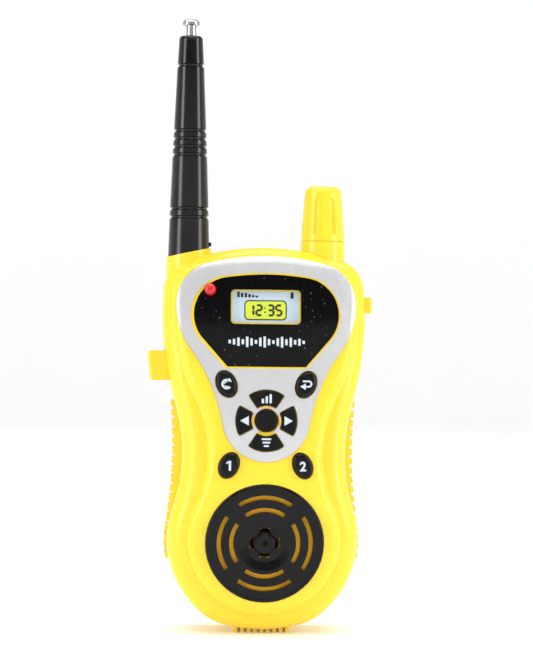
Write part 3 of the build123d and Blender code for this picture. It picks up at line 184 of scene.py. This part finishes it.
def scuffed_gloss(name, shade, gloss, dust=0.0, shine=0.28):
    """Polished plastic with hairline scratches, and settled dust where asked"""
    finish = Finish(name, Specular_IOR_Level=shine, IOR=1.5)
    streaks = finish.noise(1.2 * MM, 3, 0.6, (1, 1, 0.06))
    finish.rough(finish.remap(streaks, 0.35, 0.8, gloss, gloss * 2.2))
    wave = finish.noise(9 * MM, 1)
    finish.relief((wave, 0.03 * MM), (streaks, 0.0015 * MM))
    if dust:
        near, _ = finish.cells(1.6 * MM)
        patch = finish.noise(4 * MM, 1)
        speck = finish.remap(near, 0.06, 0.12, 1.0, 0.0)
        rare = finish.remap(patch, 0.40, 0.60, 0.0, dust)
        both = finish.tree.nodes.new("ShaderNodeMath")
        both.operation = "MULTIPLY"
        finish.link(speck, both.inputs[0])
        finish.link(rare, both.inputs[1])
        finish.colour(finish.mix(both.outputs[0], shade, (0.45, 0.45, 0.46)))
    else:
        tone = finish.noise(7 * MM, 2)
        finish.colour(finish.ramp(tone, (0.3, shade), (0.8, tuple(c * 1.5 for c in shade))))
    return finish


def metal(name, shade, gloss, brushed=(1, 1, 1)):
    """Plated or bare metal with fine marks, drawn out along one axis where asked"""
    finish = Finish(name, Metallic=1.0)
    marks = finish.noise(0.6 * MM, 3, 0.6, brushed)
    finish.colour(finish.ramp(marks, (0.3, tuple(c * 0.88 for c in shade)), (0.7, shade)))
    finish.rough(finish.remap(marks, 0.3, 0.7, gloss * 0.7, gloss * 1.4))
    finish.relief((marks, 0.002 * MM))
    return finish


def silver_lacquer():
    """Silver paint over plastic: fine flakes in a clear satin coat"""
    finish = Finish("silver_lacquer", Metallic=0.72, Coat_Weight=0.25, Coat_Roughness=0.22)
    _, flake = finish.cells(0.16 * MM)
    bright = finish.tree.nodes.new("ShaderNodeSeparateColor")
    finish.link(flake, bright.inputs["Color"])
    cloud = finish.noise(6 * MM, 3, 0.6)
    base = finish.ramp(cloud, (0.3, (0.63, 0.635, 0.645)), (0.7, (0.69, 0.69, 0.70)))
    sparkle = finish.remap(bright.outputs["Red"], 0.55, 1.0, 0.0, 0.35)
    finish.colour(finish.mix(sparkle, base, (0.92, 0.92, 0.93)))
    finish.rough(finish.remap(bright.outputs["Green"], 0.0, 1.0, 0.34, 0.5))
    finish.relief((finish.noise(12 * MM, 1), 0.05 * MM), (bright.outputs["Blue"], 0.004 * MM))
    return finish


def soft_print(name, shade, gloss=0.45):
    """Ink or a printed card: slightly mottled"""
    finish = Finish(name)
    mottle = finish.noise(0.35 * MM, 3, 0.7)
    finish.colour(finish.ramp(mottle, (0.25, tuple(c * 0.88 for c in shade)), (0.75, shade)))
    finish.rough(finish.remap(mottle, 0.3, 0.7, gloss * 0.85, gloss * 1.15))
    finish.relief((mottle, 0.004 * MM))
    return finish


def lamp_red():
    """A tinted clear dome with the glow of the lamp inside it"""
    finish = Finish("lamp_red", IOR=1.49, Transmission_Weight=0.25, Coat_Weight=0.25,
                    Emission_Color=(0.9, 0.02, 0.03, 1), Emission_Strength=0.08)
    depth = finish.noise(1.2 * MM, 2)
    finish.colour(finish.ramp(depth, (0.3, (0.62, 0.004, 0.012)), (0.75, (0.88, 0.012, 0.022))))
    finish.rough(finish.remap(depth, 0.3, 0.7, 0.08, 0.2))
    finish.relief((depth, 0.02 * MM))
    return finish


# Each material slot of the record has a finish here, and a few parts have one of their own
YELLOW = (0.97, 0.68, 0.028)
BLACK = (0.0035, 0.0035, 0.004)
FINISHES = {
    "yellow_plastic": moulded("yellow_shell", YELLOW, 0.26),
    "yellow_knob": moulded("yellow_controls", (0.96, 0.66, 0.024), 0.30, 0.7),
    "silver_paint": silver_lacquer(),
    "black_gloss": scuffed_gloss("black_gloss", BLACK, 0.12, shine=0.42),
    "panel_gloss": scuffed_gloss("panel_gloss", BLACK, 0.07, dust=0.8, shine=0.2),
    "grille_gloss": scuffed_gloss("grille_gloss", BLACK, 0.16, shine=0.2),
    "key_gloss": scuffed_gloss("key_gloss", BLACK, 0.14, shine=0.2),
    "black_satin": scuffed_gloss("black_satin", (0.006, 0.006, 0.0065), 0.34),
    "display_card": soft_print("display_card", (0.56, 0.69, 0.84), 0.4),
    "lamp_red": lamp_red(),
    "grey_silicone": soft_print("grey_silicone", (0.35, 0.36, 0.37), 0.6),
    "plated_steel": metal("plated_steel", (0.66, 0.66, 0.64), 0.26),
    "speaker_film": soft_print("speaker_film", (0.15, 0.02, 0.016), 0.4),
    "ferrite": metal("ferrite", (0.06, 0.06, 0.062), 0.5),
    "battery_jacket": scuffed_gloss("battery_jacket", (0.03, 0.06, 0.13), 0.22),
    "chrome": metal("bright_nickel", (0.50, 0.49, 0.48), 0.14, (1, 1, 0.2)),
    "white_plastic": soft_print("white_acetal", (0.80, 0.80, 0.78), 0.35),
    "board_green": scuffed_gloss("board_green", (0.012, 0.13, 0.045), 0.25),
    "radio_parts": scuffed_gloss("radio_parts", (0.03, 0.035, 0.06), 0.3),
    "wire_black": soft_print("wire_black", (0.012, 0.012, 0.012), 0.4),
    "wire_red": soft_print("wire_red", (0.60, 0.015, 0.012), 0.4),
    "wire_white": soft_print("wire_white", (0.75, 0.75, 0.72), 0.4),
}
OWN_FINISH = {"display_panel": "panel_gloss", "speaker_grille": "grille_gloss"}
OWN_FINISH.update({node: "key_gloss" for node in NODES if node.startswith(("key_", "pad_"))})

for row in frame["record"]["subparts"]:
    node = NODES[row["node"]]
    chosen = OWN_FINISH.get(row["node"], row["material_slot"])
    node.data.materials.clear()
    node.data.materials.append(FINISHES[chosen].material)


# ---------------------------------------------------------------- printed marks and painted shade
# A shape is a list of (x, z) corners, as seen from the front.
def turned(points, x, z, turn):
    """Points turned about their origin by an angle in degrees, then moved to a place"""
    c, s = cos(radians(turn)), sin(radians(turn))
    return [(x + u * c - v * s, z + u * s + v * c) for u, v in points]


def bar(x, z, width, height, turn=0.0):
    """A rectangle, turned by an angle in degrees"""
    corners = [(-width / 2, -height / 2), (width / 2, -height / 2),
               (width / 2, height / 2), (-width / 2, height / 2)]
    return turned(corners, x, z, turn)


def wedge(x, z, size, turn, ratio=0.9):
    """A solid arrow head that points along a direction in degrees"""
    points = [(size / 2, 0), (-size / 2, size * ratio / 2), (-size / 2, -size * ratio / 2)]
    return turned(points, x, z, turn)


def band(x, z, radius, width, start, end, steps=24):
    """A stretch of a ring between two angles in degrees"""
    angles = [radians(start + (end - start) * i / steps) for i in range(steps + 1)]
    outer, inner = ([(x + r * cos(a), z + r * sin(a)) for a in angles]
                    for r in (radius + width / 2, radius - width / 2))
    return outer + inner[::-1]


def rounded(x, z, width, height, radius, steps=6):
    """A rectangle with round corners"""
    points = []
    for quarter, (sx, sz) in enumerate(((1, 1), (-1, 1), (-1, -1), (1, -1))):
        for i in range(steps + 1):
            a = radians(90 * quarter + 90 * i / steps)
            points.append((x + sx * (width / 2 - radius) + radius * cos(a),
                           z + sz * (height / 2 - radius) + radius * sin(a)))
    return points


NUMERAL_SIZE = 1.36      # type size for a numeral of height 1
NUMERAL_WEIGHT = 0.045   # how far its outline is fattened


def numeral(text, x, z, height):
    """A printed numeral as flat faces"""
    curve = bpy.data.curves.new("numeral", "FONT")
    curve.body = text
    curve.align_x = "CENTER"
    curve.size = height * NUMERAL_SIZE
    curve.offset = height * NUMERAL_WEIGHT
    holder = bpy.data.objects.new("numeral", curve)
    bpy.context.scene.collection.objects.link(holder)
    bpy.context.view_layer.update()
    mesh = bpy.data.meshes.new_from_object(holder)
    faces = [[(x + mesh.vertices[i].co.x, z + mesh.vertices[i].co.y - height / 2)
              for i in face.vertices] for face in mesh.polygons]
    bpy.data.objects.remove(holder)
    bpy.data.curves.remove(curve)
    bpy.data.meshes.remove(mesh)
    return faces


FRONT_START = -0.1           # shapes are drawn here, well in front of the object
BACKWARDS = Vector((0, 1, 0))
INK_LIFT = 0.015 * MM        # gap between the ink and the surface under it
INK_THICK = 0.03 * MM
INK_FINE = 0.5 * MM          # longest edge that still follows a curved key
INK_ROUNDS = 5               # how often long edges are halved at most
INK_WELD = 0.002 * MM


def ink(name, shapes, node, finish, lift=INK_LIFT, fine=INK_FINE):
    """Flat shapes printed on the front of a CAD part as thin ink that follows its surface.

    Corners with no surface behind them are dropped.
    """
    source = NODES[node]
    surface = BVHTree.FromPolygons([v.co for v in source.data.vertices],
                                   [list(p.vertices) for p in source.data.polygons])
    build = bmesh.new()
    for shape in shapes:
        corners = [build.verts.new((u, FRONT_START, v)) for u, v in shape]
        build.faces.new(corners)
    bmesh.ops.triangulate(build, faces=build.faces)
    for _ in range(INK_ROUNDS):
        long_edges = [e for e in build.edges if e.calc_length() > fine]
        if not long_edges:
            break
        bmesh.ops.subdivide_edges(build, edges=long_edges, cuts=1)
        bmesh.ops.triangulate(build, faces=build.faces)
    missed = []
    for vert in build.verts:
        hit, _, _, _ = surface.ray_cast(vert.co, BACKWARDS)
        if hit:
            vert.co = hit - lift * BACKWARDS
        else:
            missed.append(vert)
    bmesh.ops.delete(build, geom=missed, context="VERTS")
    bmesh.ops.remove_doubles(build, verts=build.verts, dist=INK_WELD)
    bmesh.ops.recalc_face_normals(build, faces=build.faces)
    inward = [f for f in build.faces if f.normal.y > 0]
    bmesh.ops.reverse_faces(build, faces=inward)
    mesh = bpy.data.meshes.new(name)
    build.to_mesh(mesh)
    build.free()
    piece = bpy.data.objects.new(name, mesh)
    bpy.context.scene.collection.objects.link(piece)
    skin = piece.modifiers.new("ink", "SOLIDIFY")
    skin.thickness = INK_THICK
    skin.offset = 1.0
    mesh.materials.append(finish.material)
    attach(piece, source["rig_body"])


def middle(node):
    """Centre of a CAD part as seen from the front"""
    low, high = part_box(node)
    return (low.x + high.x) / 2, (low.z + high.z) / 2


WHITE_INK = soft_print("white_ink", (0.62, 0.70, 0.76), 0.35)
DARK_INK = soft_print("dark_ink", (0.010, 0.014, 0.022), 0.5)
LIME_CARD = soft_print("lime_card", (0.66, 0.78, 0.06), 0.35)
# Amber is painted shade: the yellow plastic as it looks darkened in recesses
SHADE_AMBER = soft_print("painted_shade_amber", (1.0, 0.50, 0.012), 0.8)

# A redial loop: most of a ring, with an arrow head on its open end
LOOP_RADIUS, LOOP_STROKE = 1.45 * MM, 0.66 * MM
x, z = middle("key_cancel")
ink("mark_redial", [band(x, z, LOOP_RADIUS, LOOP_STROKE, 60, 320),
                    wedge(x + 1.15 * MM, z + 1.15 * MM, 1.5 * MM, -35)], "key_cancel", WHITE_INK)

# A return arrow: an arrow head and two bars, joined by half a ring
RETURN_STROKE = 0.58 * MM
x, z = middle("key_return")
ink("mark_return", [wedge(x - 1.15 * MM, z - 0.65 * MM, 1.9 * MM, 180, 1.15),
                    bar(x + 0.2 * MM, z - 0.65 * MM, 1.5 * MM, RETURN_STROKE),
                    band(x + 0.85 * MM, z + 0.25 * MM, 0.9 * MM, RETURN_STROKE, -90, 90),
                    bar(x - 0.2 * MM, z + 1.15 * MM, 2.1 * MM, RETURN_STROKE)],
    "key_return", WHITE_INK)

# The numerals: a stem with a flag, and a typed two
x, z = middle("key_one")
ink("mark_one", [bar(x + 0.25 * MM, z, 0.8 * MM, 3.3 * MM),
                 [(x - 0.95 * MM, z + 0.55 * MM), (x - 0.15 * MM, z + 0.95 * MM),
                  (x - 0.15 * MM, z + 1.65 * MM), (x - 0.95 * MM, z + 1.15 * MM)]],
    "key_one", WHITE_INK)
x, z = middle("key_two")
ink("mark_two", numeral("2", x, z, 3.2 * MM), "key_two", WHITE_INK)

# Growing bars and shrinking lines, as (place, length) in millimetres
BARS, BARS_FOOT, BAR_WIDTH = ((-1.3, 1.5), (0, 2.3), (1.3, 3.0)), 1.35, 0.78 * MM
x, z = middle("pad_up")
ink("mark_bars", [bar(x + u * MM, z + (h / 2 - BARS_FOOT) * MM, BAR_WIDTH, h * MM)
                  for u, h in BARS], "pad_up", WHITE_INK)
LINES, LINE_HEIGHT = ((1.15, 3.2), (0, 2.5), (-1.15, 1.7)), 0.6 * MM
x, z = middle("pad_down")
ink("mark_lines", [bar(x, z + v * MM, w * MM, LINE_HEIGHT)
                   for v, w in LINES], "pad_down", WHITE_INK)

# Arrow heads to the left and right
x, z = middle("pad_left")
ink("mark_left", [wedge(x, z, 2.9 * MM, 180, 1.12)], "pad_left", WHITE_INK)
x, z = middle("pad_right")
ink("mark_right", [wedge(x, z, 2.8 * MM, 0, 1.14)], "pad_right", WHITE_INK)

# Painted shade: an amber sheet on the yellow seat behind the grille, for the seat as it shows
# shaded through the slots, in four quarters of a ring
SEAT_RADIUS, SEAT_WIDTH = 13.4 * MM, 7.0 * MM
SEAT_LIFT, SEAT_FINE = 0.01 * MM, 3.0 * MM
x, z = middle("speaker_grille")
ink("grille_seat_shade", [band(x, z, SEAT_RADIUS, SEAT_WIDTH, 90 * k, 90 * (k + 1)) for k in range(4)],
    "front_shell", SHADE_AMBER, SEAT_LIFT, SEAT_FINE)

# Yellow arcs on the trim, between the round button and the keys above and beside it. They stand
# for the unpainted yellow walls of the openings, coloured in the amber of painted shade
ARC_RADIUS, ARC_WIDTH, ARC_SPAN = 4.55 * MM, 0.5 * MM, 50
x, z = middle("pad_centre")
ink("ring_arcs", [band(x, z, ARC_RADIUS, ARC_WIDTH, toward - ARC_SPAN / 2, toward + ARC_SPAN / 2)
                  for toward in (0, 90, 180)], "silver_trim", SHADE_AMBER)

# The label under the display: a row of sound-wave bars, with their heights in millimetres
WAVE = (1.2, 1.9, 2.8, 1.7, 3.5, 2.4, 1.3, 2.9, 3.7, 2.1, 1.2, 2.6, 3.6, 2.0, 3.1, 1.5, 2.3, 1.1)
WAVE_Z = 99.4 * MM
WAVE_STEP = 25.0 * MM / (len(WAVE) - 1)
WAVE_BAR = 0.82 * MM
WAVE_FINE = 1.0 * MM
ink("label_wave", [bar((i - (len(WAVE) - 1) / 2) * WAVE_STEP, WAVE_Z, WAVE_BAR, h * MM)
                   for i, h in enumerate(WAVE)], "display_panel", WHITE_INK, fine=WAVE_FINE)

# ---------------------------------------------------------------- display
DISPLAY_X, DISPLAY_Z = -0.3 * MM, 111.2 * MM
CARD_FINE = 1.5 * MM                            # the card is nearly flat
FRAME_LIFT, FIELD_LIFT, DIGIT_LIFT, STATUS_LIFT = 0.02 * MM, 0.08 * MM, 0.14 * MM, 0.04 * MM

CLOCK = "12:35"
CLOCK_Z = DISPLAY_Z - 1.1 * MM
CLOCK_FRAME = (14.4 * MM, 6.8 * MM, 1.5 * MM)   # width, height and corner radius
CLOCK_FIELD = (13.6 * MM, 6.0 * MM, 1.2 * MM)
DIGIT_PLACES = (-5.0, -2.2, -0.2, 1.8, 4.5)     # millimetres from the display's middle
DIGIT_W, DIGIT_H, STROKE = 1.75 * MM, 3.35 * MM, 0.72 * MM
ACROSS_FILL, UPRIGHT_FILL = 0.82, 0.84          # how much of its side each segment fills
COLON_RISE, COLON_DOT = 0.7 * MM, 0.45 * MM
SEGMENTS = {"1": "bc", "2": "abged", "3": "abgcd", "5": "afgcd"}

SIGNAL = (1.9, 1.5, 1.5, 1.1, 0.8, 0.6)         # heights of the signal bars in millimetres
SIGNAL_X, SIGNAL_STEP, SIGNAL_FOOT = -9.2, 1.25, 3.2
SIGNAL_WIDTH = 0.85 * MM
CELL_X = DISPLAY_X + 9.0 * MM


def seven_segments(letter, x, z):
    """The lit bars of one seven-segment digit"""
    quarter = DIGIT_H / 4
    places = {"a": (0, 2 * quarter, 0), "g": (0, 0, 0), "d": (0, -2 * quarter, 0),
              "f": (-DIGIT_W / 2, quarter, 90), "b": (DIGIT_W / 2, quarter, 90),
              "e": (-DIGIT_W / 2, -quarter, 90), "c": (DIGIT_W / 2, -quarter, 90)}
    rows = []
    for code in SEGMENTS[letter]:
        u, v, turn = places[code]
        length = DIGIT_W * ACROSS_FILL if turn == 0 else 2 * quarter * UPRIGHT_FILL
        rows.append(bar(x + u, z + v, length, STROKE, turn))
    return rows


card = "display_card"
ink("clock_frame", [rounded(DISPLAY_X, CLOCK_Z, *CLOCK_FRAME)],
    card, DARK_INK, FRAME_LIFT, CARD_FINE)
ink("clock_field", [rounded(DISPLAY_X, CLOCK_Z, *CLOCK_FIELD)],
    card, LIME_CARD, FIELD_LIFT, CARD_FINE)
digits = []
for place, letter in zip(DIGIT_PLACES, CLOCK):
    cx = DISPLAY_X + place * MM
    if letter == ":":
        digits += [bar(cx, CLOCK_Z + v, COLON_DOT, COLON_DOT) for v in (-COLON_RISE, COLON_RISE)]
    else:
        digits += seven_segments(letter, cx, CLOCK_Z)
ink("clock_digits", digits, card, DARK_INK, DIGIT_LIFT)

# Status marks along the top: a row of falling signal bars and a battery cell with its tip
signal = [bar(DISPLAY_X + (SIGNAL_X + SIGNAL_STEP * i) * MM,
              DISPLAY_Z + (SIGNAL_FOOT + h / 2) * MM, SIGNAL_WIDTH, h * MM)
          for i, h in enumerate(SIGNAL)]
cell = [bar(CELL_X, DISPLAY_Z + 3.9 * MM, 1.0 * MM, 1.9 * MM),
        bar(CELL_X, DISPLAY_Z + 5.0 * MM, 0.5 * MM, 0.35 * MM)]
ink("status_marks", signal + cell, card, DARK_INK, STATUS_LIFT)

# ---------------------------------------------------------------- return spring of the side button
# It stands for the CAD coil, which is hidden
coil = NODES["ptt_spring"]
spring = bpy.data.objects.new("ptt_return_spring", coil.data.copy())
bpy.context.scene.collection.objects.link(spring)
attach(spring, coil["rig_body"])
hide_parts("ptt_spring")
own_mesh(spring)

# ---------------------------------------------------------------- world
# The camera sees plain white. The object is lit by a dimmer sky, darkest towards the viewer.
SEEN_LEVEL = 1.0
FRONT_LEVEL, BACK_LEVEL = 0.06, 0.55
FRONT_Y, BACK_Y = -0.75, 0.1     # where the fade between them starts and ends

world = bpy.data.worlds.new("studio")
bpy.context.scene.world = world
world.use_nodes = True
nodes, links = world.node_tree.nodes, world.node_tree.links
back = nodes["Background"]
back.inputs["Color"].default_value = (1, 1, 1, 1)
path = nodes.new("ShaderNodeLightPath")
level = nodes.new("ShaderNodeMix")
level.data_type = "FLOAT"
facing = nodes.new("ShaderNodeTexCoord")
split = nodes.new("ShaderNodeSeparateXYZ")
fade = nodes.new("ShaderNodeMapRange")
fade.inputs["From Min"].default_value = FRONT_Y
fade.inputs["From Max"].default_value = BACK_Y
fade.inputs["To Min"].default_value = FRONT_LEVEL
fade.inputs["To Max"].default_value = BACK_LEVEL
links.new(facing.outputs["Generated"], split.inputs["Vector"])
links.new(split.outputs["Y"], fade.inputs["Value"])
links.new(path.outputs["Is Camera Ray"], level.inputs["Factor"])
links.new(fade.outputs["Result"], level.inputs["A"])
level.inputs["B"].default_value = SEEN_LEVEL
links.new(level.outputs["Result"], back.inputs["Strength"])

# ---------------------------------------------------------------- floor
# A round sheet of paper whose rim sweeps up. Two flat rings keep its middle smooth-shaded flat.
FLOOR_R, SWEEP_R, SIDES = 1.5, 0.6, 96
FLAT_RINGS = (0.8, 0.95)
SWEEP_STEPS = 12

profile = [(share * FLOOR_R, 0.0) for share in FLAT_RINGS]
profile += [(FLOOR_R + SWEEP_R * sin(a), SWEEP_R * (1 - cos(a)))
            for a in (radians(90 * i / SWEEP_STEPS) for i in range(SWEEP_STEPS + 1))]
verts = [(r * cos(2 * pi * k / SIDES), r * sin(2 * pi * k / SIDES), z)
         for r, z in profile for k in range(SIDES)]
quads = [(row * SIDES + k, (row + 1) * SIDES + k,
          (row + 1) * SIDES + (k + 1) % SIDES, row * SIDES + (k + 1) % SIDES)
         for row in range(len(profile) - 1) for k in range(SIDES)]
sheet = bpy.data.meshes.new("floor")
sheet.from_pydata(verts, [], [tuple(range(SIDES))] + quads)
sheet.polygons.foreach_set("use_smooth", [True] * len(sheet.polygons))
floor = bpy.data.objects.new("floor", sheet)
bpy.context.scene.collection.objects.link(floor)
paper = Finish("paper", Specular_IOR_Level=0.2, Emission_Color=(1, 1, 1, 1),
               Emission_Strength=0.12)
fibres = paper.noise(1.5 * MM, 3)
paper.colour(paper.ramp(fibres, (0.3, (0.92, 0.92, 0.92)), (0.7, (0.95, 0.95, 0.95))))
paper.rough(paper.remap(fibres, 0.3, 0.7, 0.75, 0.9))
paper.relief((fibres, 0.01 * MM))
sheet.materials.append(paper.material)


# ---------------------------------------------------------------- lights
def softbox(name, place, aim, width, height, power):
    """A rectangular lamp at a place, turned towards another, with its power in watts"""
    lamp = bpy.data.lights.new(name, "AREA")
    lamp.shape = "RECTANGLE"
    lamp.size, lamp.size_y = width, height
    lamp.energy = power
    holder = bpy.data.objects.new(name, lamp)
    holder.location = place
    holder.rotation_euler = (Vector(aim) - Vector(place)).to_track_quat("-Z", "Y").to_euler()
    bpy.context.scene.collection.objects.link(holder)


CENTRE = (0, 0, 0.09)
BACKDROP = (0, 1.6, 0.2)
softbox("box_left", (-0.80, -0.42, 0.25), CENTRE, 0.30, 1.0, 5.0)
softbox("box_right", (0.80, -0.38, 0.25), CENTRE, 0.30, 1.0, 5.0)
softbox("box_top", (0.0, -0.25, 0.95), CENTRE, 0.9, 0.5, 3.4)
softbox("box_backdrop", (0.0, 0.25, 1.2), BACKDROP, 1.6, 0.3, 16.0)
softbox("box_front", (0.1, -1.2, 1.1), CENTRE, 0.8, 0.5, 3.6)

# ---------------------------------------------------------------- camera
DISTANCE = 0.75
AZIMUTH = radians(-4.0)
ROLL = radians(0.65)
TARGET = Vector((0.0011, 0.003, 0.1058))
SENSOR = 36.0          # millimetres
VIEW_HEIGHT = 0.2229   # the picture's long side spans this much at the object

camera_data = bpy.data.cameras.new("camera")
camera_data.sensor_width = SENSOR
camera_data.lens = SENSOR * DISTANCE / VIEW_HEIGHT
camera = bpy.data.objects.new("camera", camera_data)
camera.location = TARGET + Vector((sin(AZIMUTH), -cos(AZIMUTH), 0)) * DISTANCE
aim = (TARGET - camera.location).to_track_quat("-Z", "Y")
camera.rotation_euler = (aim @ Euler((0, 0, ROLL)).to_quaternion()).to_euler()
bpy.context.scene.collection.objects.link(camera)
bpy.context.scene.camera = camera
bpy.context.scene.view_settings.view_transform = "Standard"
